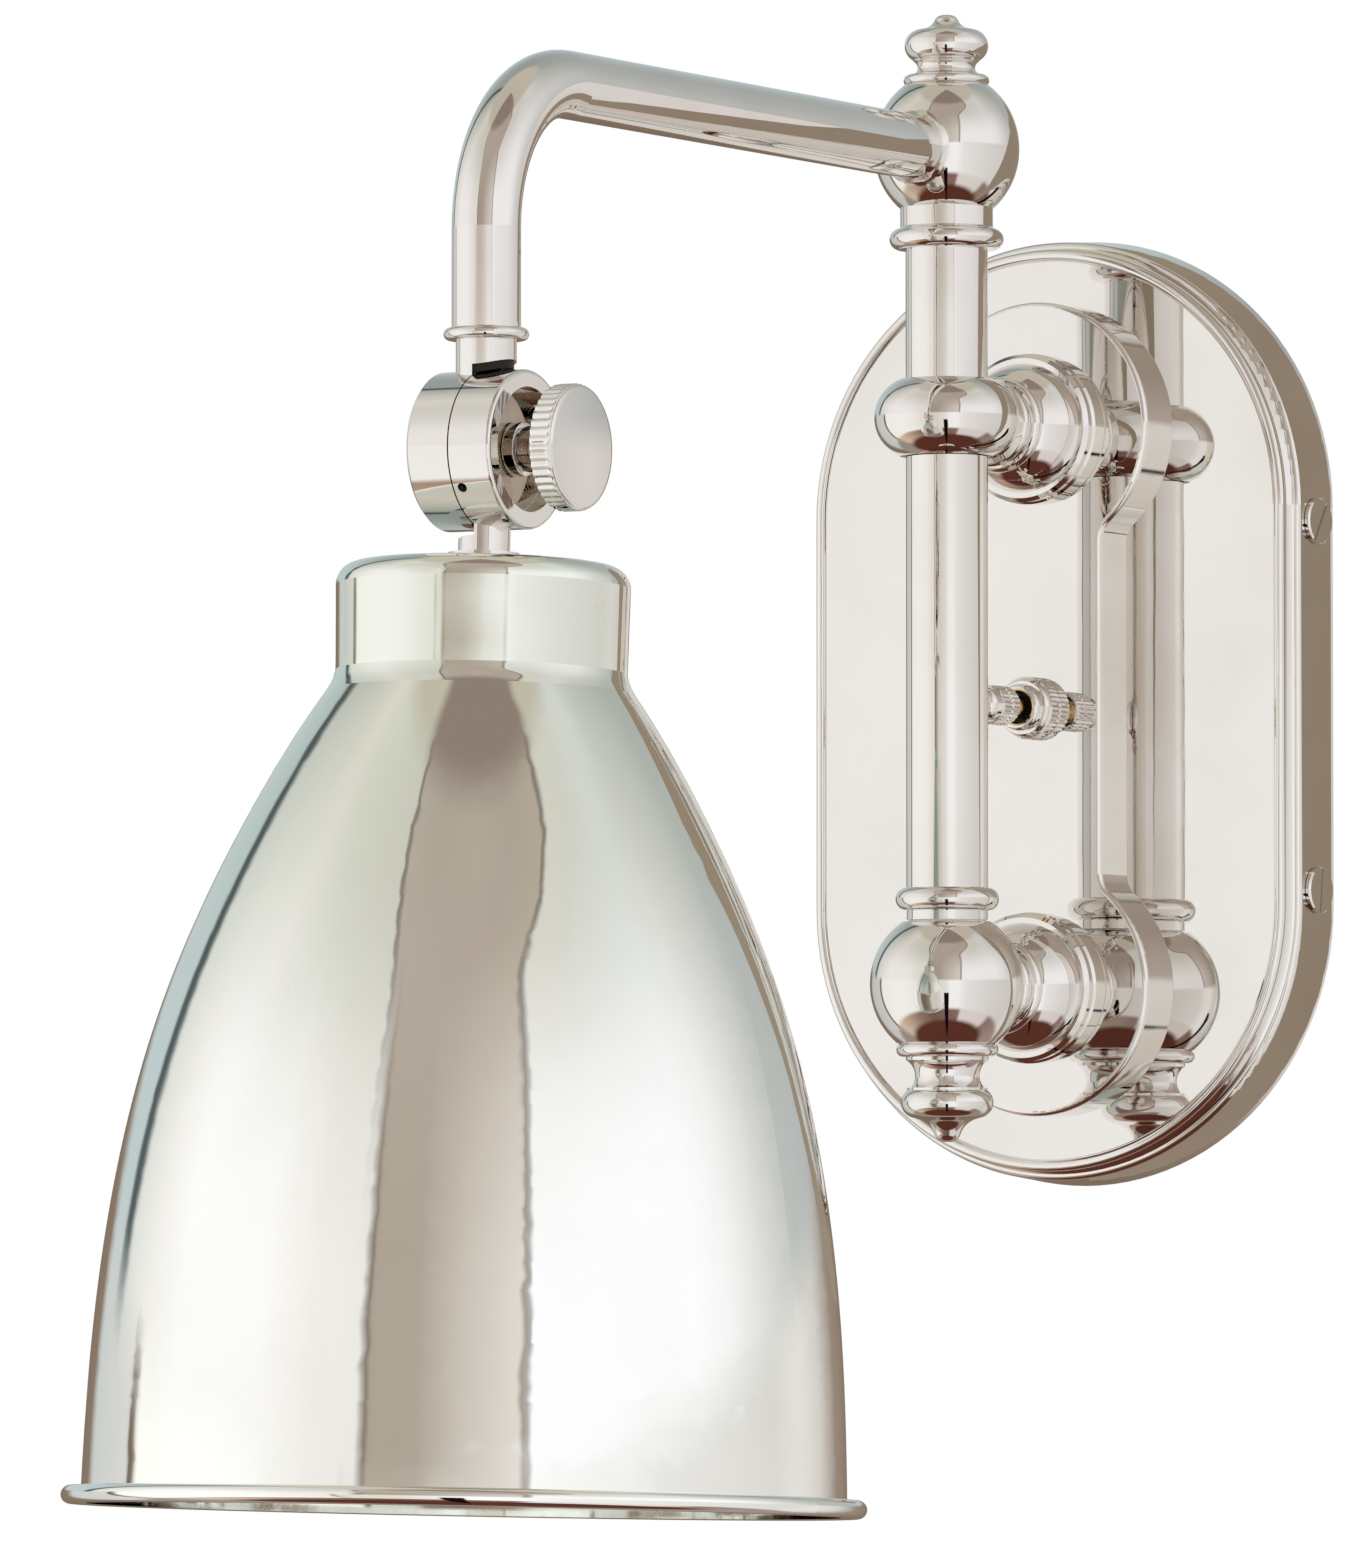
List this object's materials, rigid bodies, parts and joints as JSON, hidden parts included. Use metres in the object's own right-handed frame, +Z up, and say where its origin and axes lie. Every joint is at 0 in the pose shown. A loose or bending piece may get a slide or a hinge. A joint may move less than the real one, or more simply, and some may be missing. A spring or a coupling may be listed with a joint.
{
  "type": "swing arm wall sconce",
  "caption": "Wall sconce with an oval backplate, a turning post on two standoffs, a bent tube arm, a thumb-screw swivel and a bell metal shade.",
  "frame": {"origin": "middle of the backplate on the wall plane, at the centre of the mounting bracket's slot pattern", "axes": "+Y into the wall, -Y out of it towards the room, +Z up, +X along the wall towards the thumb screw's side"},
  "size_m": [0.152, 0.3312, 0.3046],
  "materials": {
    "polished_nickel": "mirror-polished nickel plate",
    "shade_nickel": "polished nickel plate over spun metal",
    "zinc_steel": "zinc-plated steel",
    "green_screw": "green lacquer",
    "black_oxide": "black oxide",
    "brass": "bare brass",
    "porcelain": "glazed white porcelain",
    "black_phenolic": "moulded black phenolic",
    "nylon": "natural nylon",
    "fibre": "red vulcanised fibre"
  },
  "bodies": {
    "wall_plate": {"mounting_bracket": "zinc_steel", "ground_screw": "green_screw", "backplate": "polished_nickel", "side_screws": "polished_nickel", "escutcheon": "polished_nickel", "upper_standoff": "polished_nickel", "lower_standoff": "polished_nickel", "standoff_washers": "zinc_steel", "standoff_screws": "zinc_steel", "upper_knuckle": "polished_nickel", "knuckle_bush": "nylon", "lower_ball": "polished_nickel", "lower_bush": "nylon", "lower_finial": "polished_nickel", "switch_body": "black_phenolic", "switch_nut": "polished_nickel"},
    "switch_knob": {"switch_shaft": "brass", "switch_knob": "polished_nickel"},
    "arm": {"post": "polished_nickel", "lower_collar": "polished_nickel", "thrust_washer": "nylon", "pivot_pin": "zinc_steel", "pivot_nut": "zinc_steel", "upper_collar": "polished_nickel", "upper_ball": "polished_nickel", "top_finial": "polished_nickel", "arm_tube": "polished_nickel", "arm_end_bush": "brass", "arm_end_collar": "polished_nickel", "swivel_upper_half": "polished_nickel", "friction_washer": "fibre", "wire_grommet": "black_phenolic"},
    "thumb_screw": {"thumb_screw": "polished_nickel"},
    "lamp": {"swivel_lower_half": "polished_nickel", "stop_screw": "black_oxide", "shade_washer": "polished_nickel", "shade": "shade_nickel", "stem_nut": "zinc_steel", "lampholder_bracket": "zinc_steel", "lampholder_body": "porcelain", "bracket_screws": "zinc_steel", "terminal_screws": "brass", "screw_shell": "brass", "centre_contact": "brass"}
  },
  "joints": [
    {"name": "arm_swing", "type": "hinge", "parent": "wall_plate", "child": "arm", "pos_m": [0, -0.0613, 0], "axis": [0, 0, 1], "range_deg": [-80, 80]},
    {"name": "shade_tilt", "type": "hinge", "parent": "arm", "child": "lamp", "pos_m": [0, -0.2473, 0.0395], "axis": [-1, 0, 0], "range_deg": [-25, 88]},
    {"name": "thumb_screw_turn", "type": "hinge", "parent": "arm", "child": "thumb_screw", "pos_m": [0, -0.2473, 0.0395], "axis": [1, 0, 0], "range_deg": [0, 360]},
    {"name": "switch_turn", "type": "hinge", "parent": "wall_plate", "child": "switch_knob", "pos_m": [0, -0.0418, 0], "axis": [0, -1, 0], "continuous": true}
  ]
}
